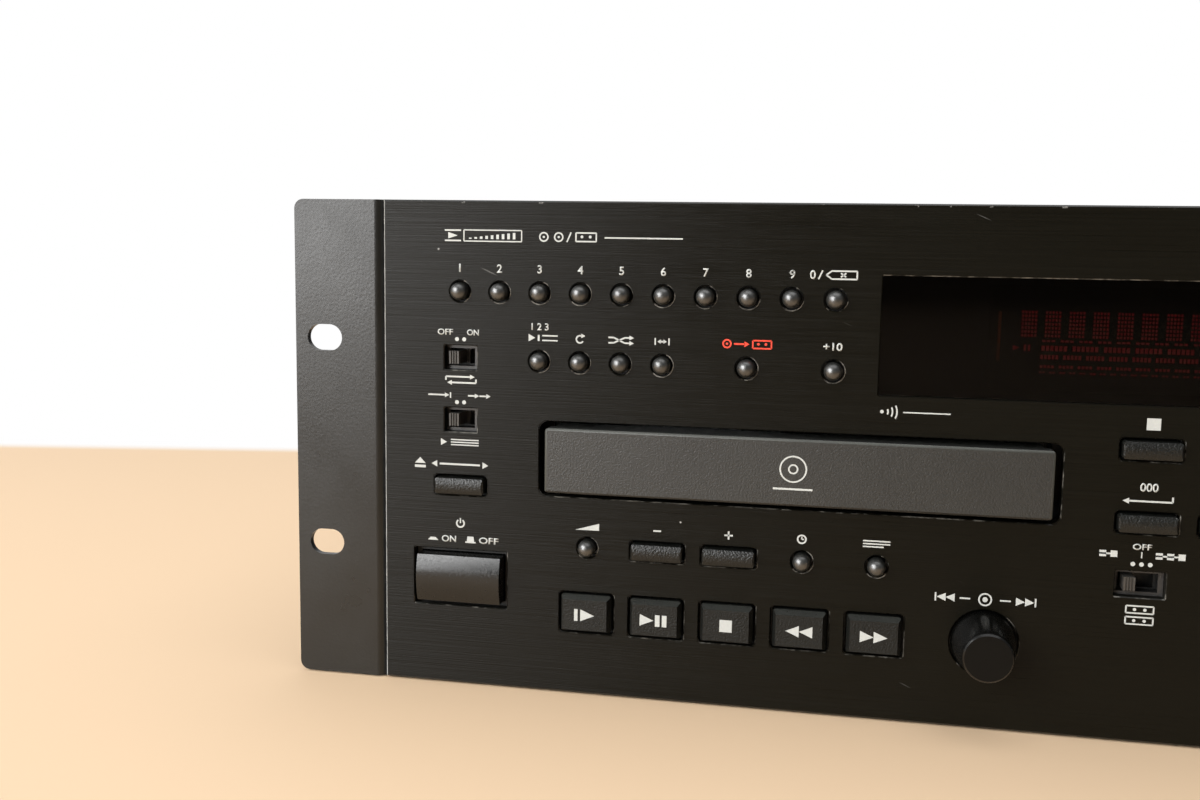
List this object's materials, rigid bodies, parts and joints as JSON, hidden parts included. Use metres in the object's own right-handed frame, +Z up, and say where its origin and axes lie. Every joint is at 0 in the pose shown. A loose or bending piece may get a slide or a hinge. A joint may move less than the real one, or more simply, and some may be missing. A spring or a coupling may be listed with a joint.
{
  "type": "rack-mount disc and cassette deck",
  "caption": "Rack-mount audio deck with a disc drawer, a hinged cassette door, push keys, slide switches, turning knobs and a display behind a brushed black face plate.",
  "frame": {"origin": "middle of the bounding box on the surface that the feet stand on", "axes": "+X to the right along the front, +Y to the rear, +Z up"},
  "size_m": [0.482, 0.31, 0.1325],
  "materials": {
    "face": "brushed, black anodised",
    "ear": "black powder coat",
    "frame": "moulded",
    "chassis": "zinc plated",
    "cover": "textured black paint",
    "foot": "matte",
    "screw": "black zinc",
    "window": "smoked, polished",
    "board": "solder resist",
    "transformer": "varnished laminations",
    "socket": "moulded",
    "mechanism": "moulded",
    "turntable": "moulded",
    "tray": "moulded",
    "drawer_front": "fine texture",
    "spindle": "moulded",
    "door": "satin",
    "key": "fine texture",
    "shaft": "turned",
    "knob": "satin"
  },
  "bodies": {
    "case": {"front_panel": "face", "rack_ears": "ear", "front_frame": "frame", "chassis": "chassis", "top_cover": "cover", "feet": "foot", "screws": "screw", "display_window": "window", "circuit_boards": "board", "power_transformer": "transformer", "connectors": "socket", "disc_loader": "mechanism", "tape_transport": "mechanism"},
    "drawer": {"disc_tray": "tray", "tray_front": "drawer_front"},
    "number_key_1": {"number_key_1": "key"},
    "number_key_2": {"number_key_2": "key"},
    "number_key_3": {"number_key_3": "key"},
    "number_key_4": {"number_key_4": "key"},
    "number_key_5": {"number_key_5": "key"},
    "number_key_6": {"number_key_6": "key"},
    "number_key_7": {"number_key_7": "key"},
    "number_key_8": {"number_key_8": "key"},
    "number_key_9": {"number_key_9": "key"},
    "number_key_0": {"number_key_0": "key"},
    "program_key": {"program_key": "key"},
    "call_key": {"call_key": "key"},
    "random_key": {"random_key": "key"},
    "ab_key": {"ab_key": "key"},
    "sync_key": {"sync_key": "key"},
    "plus_ten_key": {"plus_ten_key": "key"},
    "pitch_key": {"pitch_key": "key"},
    "time_key": {"time_key": "key"},
    "title_key": {"title_key": "key"},
    "open_close_key": {"open_close_key": "key"},
    "pitch_down_key": {"pitch_down_key": "key"},
    "pitch_up_key": {"pitch_up_key": "key"},
    "tape_stop_key": {"tape_stop_key": "key"},
    "tape_play_key": {"tape_play_key": "key"},
    "tape_record_key": {"tape_record_key": "key"},
    "eject_key": {"eject_key": "key"},
    "counter_key": {"counter_key": "key"},
    "tape_rewind_key": {"tape_rewind_key": "key"},
    "tape_forward_key": {"tape_forward_key": "key"},
    "cue_key": {"cue_key": "key"},
    "play_key": {"play_key": "key"},
    "stop_key": {"stop_key": "key"},
    "rewind_key": {"rewind_key": "key"},
    "forward_key": {"forward_key": "key"},
    "power_button": {"power_button": "key"},
    "repeat_slider": {"repeat_slider": "key"},
    "play_mode_slider": {"play_mode_slider": "key"},
    "relay_slider": {"relay_slider": "key"},
    "encoder_shaft": {"encoder_shaft": "shaft"},
    "track_knob": {"track_knob": "knob"},
    "level_knob": {"level_knob": "knob"},
    "cassette_door": {"cassette_door": "door"},
    "disc_turntable": {"disc_turntable": "turntable"},
    "supply_spindle": {"supply_spindle": "spindle"},
    "takeup_spindle": {"takeup_spindle": "spindle"}
  },
  "joints": [
    {"name": "number_key_1_slide", "type": "slide", "parent": "case", "child": "number_key_1", "axis": [0, 1, 0], "range_m": [0, 0.0008], "stiffness_N_per_m": 600},
    {"name": "number_key_2_slide", "type": "slide", "parent": "case", "child": "number_key_2", "axis": [0, 1, 0], "range_m": [0, 0.0008], "stiffness_N_per_m": 600},
    {"name": "number_key_3_slide", "type": "slide", "parent": "case", "child": "number_key_3", "axis": [0, 1, 0], "range_m": [0, 0.0008], "stiffness_N_per_m": 600},
    {"name": "number_key_4_slide", "type": "slide", "parent": "case", "child": "number_key_4", "axis": [0, 1, 0], "range_m": [0, 0.0008], "stiffness_N_per_m": 600},
    {"name": "number_key_5_slide", "type": "slide", "parent": "case", "child": "number_key_5", "axis": [0, 1, 0], "range_m": [0, 0.0008], "stiffness_N_per_m": 600},
    {"name": "number_key_6_slide", "type": "slide", "parent": "case", "child": "number_key_6", "axis": [0, 1, 0], "range_m": [0, 0.0008], "stiffness_N_per_m": 600},
    {"name": "number_key_7_slide", "type": "slide", "parent": "case", "child": "number_key_7", "axis": [0, 1, 0], "range_m": [0, 0.0008], "stiffness_N_per_m": 600},
    {"name": "number_key_8_slide", "type": "slide", "parent": "case", "child": "number_key_8", "axis": [0, 1, 0], "range_m": [0, 0.0008], "stiffness_N_per_m": 600},
    {"name": "number_key_9_slide", "type": "slide", "parent": "case", "child": "number_key_9", "axis": [0, 1, 0], "range_m": [0, 0.0008], "stiffness_N_per_m": 600},
    {"name": "number_key_0_slide", "type": "slide", "parent": "case", "child": "number_key_0", "axis": [0, 1, 0], "range_m": [0, 0.0008], "stiffness_N_per_m": 600},
    {"name": "program_key_slide", "type": "slide", "parent": "case", "child": "program_key", "axis": [0, 1, 0], "range_m": [0, 0.0008], "stiffness_N_per_m": 600},
    {"name": "call_key_slide", "type": "slide", "parent": "case", "child": "call_key", "axis": [0, 1, 0], "range_m": [0, 0.0008], "stiffness_N_per_m": 600},
    {"name": "random_key_slide", "type": "slide", "parent": "case", "child": "random_key", "axis": [0, 1, 0], "range_m": [0, 0.0008], "stiffness_N_per_m": 600},
    {"name": "ab_key_slide", "type": "slide", "parent": "case", "child": "ab_key", "axis": [0, 1, 0], "range_m": [0, 0.0008], "stiffness_N_per_m": 600},
    {"name": "sync_key_slide", "type": "slide", "parent": "case", "child": "sync_key", "axis": [0, 1, 0], "range_m": [0, 0.0008], "stiffness_N_per_m": 600},
    {"name": "plus_ten_key_slide", "type": "slide", "parent": "case", "child": "plus_ten_key", "axis": [0, 1, 0], "range_m": [0, 0.0008], "stiffness_N_per_m": 600},
    {"name": "pitch_key_slide", "type": "slide", "parent": "case", "child": "pitch_key", "axis": [0, 1, 0], "range_m": [0, 0.0008], "stiffness_N_per_m": 600},
    {"name": "time_key_slide", "type": "slide", "parent": "case", "child": "time_key", "axis": [0, 1, 0], "range_m": [0, 0.0008], "stiffness_N_per_m": 600},
    {"name": "title_key_slide", "type": "slide", "parent": "case", "child": "title_key", "axis": [0, 1, 0], "range_m": [0, 0.0008], "stiffness_N_per_m": 600},
    {"name": "open_close_key_slide", "type": "slide", "parent": "case", "child": "open_close_key", "axis": [0, 1, 0], "range_m": [0, 0.0008], "stiffness_N_per_m": 600},
    {"name": "pitch_down_key_slide", "type": "slide", "parent": "case", "child": "pitch_down_key", "axis": [0, 1, 0], "range_m": [0, 0.0008], "stiffness_N_per_m": 600},
    {"name": "pitch_up_key_slide", "type": "slide", "parent": "case", "child": "pitch_up_key", "axis": [0, 1, 0], "range_m": [0, 0.0008], "stiffness_N_per_m": 600},
    {"name": "tape_stop_key_slide", "type": "slide", "parent": "case", "child": "tape_stop_key", "axis": [0, 1, 0], "range_m": [0, 0.0008], "stiffness_N_per_m": 600},
    {"name": "tape_play_key_slide", "type": "slide", "parent": "case", "child": "tape_play_key", "axis": [0, 1, 0], "range_m": [0, 0.0008], "stiffness_N_per_m": 600},
    {"name": "tape_record_key_slide", "type": "slide", "parent": "case", "child": "tape_record_key", "axis": [0, 1, 0], "range_m": [0, 0.0008], "stiffness_N_per_m": 600},
    {"name": "eject_key_slide", "type": "slide", "parent": "case", "child": "eject_key", "axis": [0, 1, 0], "range_m": [0, 0.0008], "stiffness_N_per_m": 600},
    {"name": "counter_key_slide", "type": "slide", "parent": "case", "child": "counter_key", "axis": [0, 1, 0], "range_m": [0, 0.0008], "stiffness_N_per_m": 600},
    {"name": "tape_rewind_key_slide", "type": "slide", "parent": "case", "child": "tape_rewind_key", "axis": [0, 1, 0], "range_m": [0, 0.0008], "stiffness_N_per_m": 600},
    {"name": "tape_forward_key_slide", "type": "slide", "parent": "case", "child": "tape_forward_key", "axis": [0, 1, 0], "range_m": [0, 0.0008], "stiffness_N_per_m": 600},
    {"name": "cue_key_slide", "type": "slide", "parent": "case", "child": "cue_key", "axis": [0, 1, 0], "range_m": [0, 0.0008], "stiffness_N_per_m": 600},
    {"name": "play_key_slide", "type": "slide", "parent": "case", "child": "play_key", "axis": [0, 1, 0], "range_m": [0, 0.0008], "stiffness_N_per_m": 600},
    {"name": "stop_key_slide", "type": "slide", "parent": "case", "child": "stop_key", "axis": [0, 1, 0], "range_m": [0, 0.0008], "stiffness_N_per_m": 600},
    {"name": "rewind_key_slide", "type": "slide", "parent": "case", "child": "rewind_key", "axis": [0, 1, 0], "range_m": [0, 0.0008], "stiffness_N_per_m": 600},
    {"name": "forward_key_slide", "type": "slide", "parent": "case", "child": "forward_key", "axis": [0, 1, 0], "range_m": [0, 0.0008], "stiffness_N_per_m": 600},
    {"name": "power_button_slide", "type": "slide", "parent": "case", "child": "power_button", "axis": [0, 1, 0], "range_m": [0, 0.0035]},
    {"name": "repeat_slider_slide", "type": "slide", "parent": "case", "child": "repeat_slider", "axis": [1, 0, 0], "range_m": [0, 0.0037]},
    {"name": "play_mode_slider_slide", "type": "slide", "parent": "case", "child": "play_mode_slider", "axis": [1, 0, 0], "range_m": [0, 0.0037]},
    {"name": "relay_slider_slide", "type": "slide", "parent": "case", "child": "relay_slider", "axis": [1, 0, 0], "range_m": [0, 0.005]},
    {"name": "drawer_slide", "type": "slide", "parent": "case", "child": "drawer", "axis": [0, -1, 0], "range_m": [0, 0.128]},
    {"name": "encoder_shaft_slide", "type": "slide", "parent": "case", "child": "encoder_shaft", "axis": [0, 1, 0], "range_m": [0, 0.0008], "stiffness_N_per_m": 600},
    {"name": "track_knob_turn", "type": "hinge", "parent": "encoder_shaft", "child": "track_knob", "pos_m": [-0.0555, -0.142, 0.023], "axis": [0, 1, 0], "continuous": true},
    {"name": "level_knob_turn", "type": "hinge", "parent": "case", "child": "level_knob", "pos_m": [0.0189, -0.142, 0.023], "axis": [0, 1, 0], "range_deg": [-150, 150]},
    {"name": "cassette_door_turn", "type": "hinge", "parent": "case", "child": "cassette_door", "pos_m": [0.13496, -0.134, 0.0455], "axis": [1, 0, 0], "range_deg": [0, 30]},
    {"name": "disc_turntable_turn", "type": "hinge", "parent": "case", "child": "disc_turntable", "pos_m": [-0.1054, -0.0725, 0.0645], "axis": [0, 0, 1], "continuous": true},
    {"name": "supply_spindle_turn", "type": "hinge", "parent": "case", "child": "supply_spindle", "pos_m": [0.11371, -0.1195, 0.0765], "axis": [0, 1, 0], "continuous": true},
    {"name": "takeup_spindle_turn", "type": "hinge", "parent": "case", "child": "takeup_spindle", "pos_m": [0.15621, -0.1195, 0.0765], "axis": [0, 1, 0], "continuous": true}
  ]
}
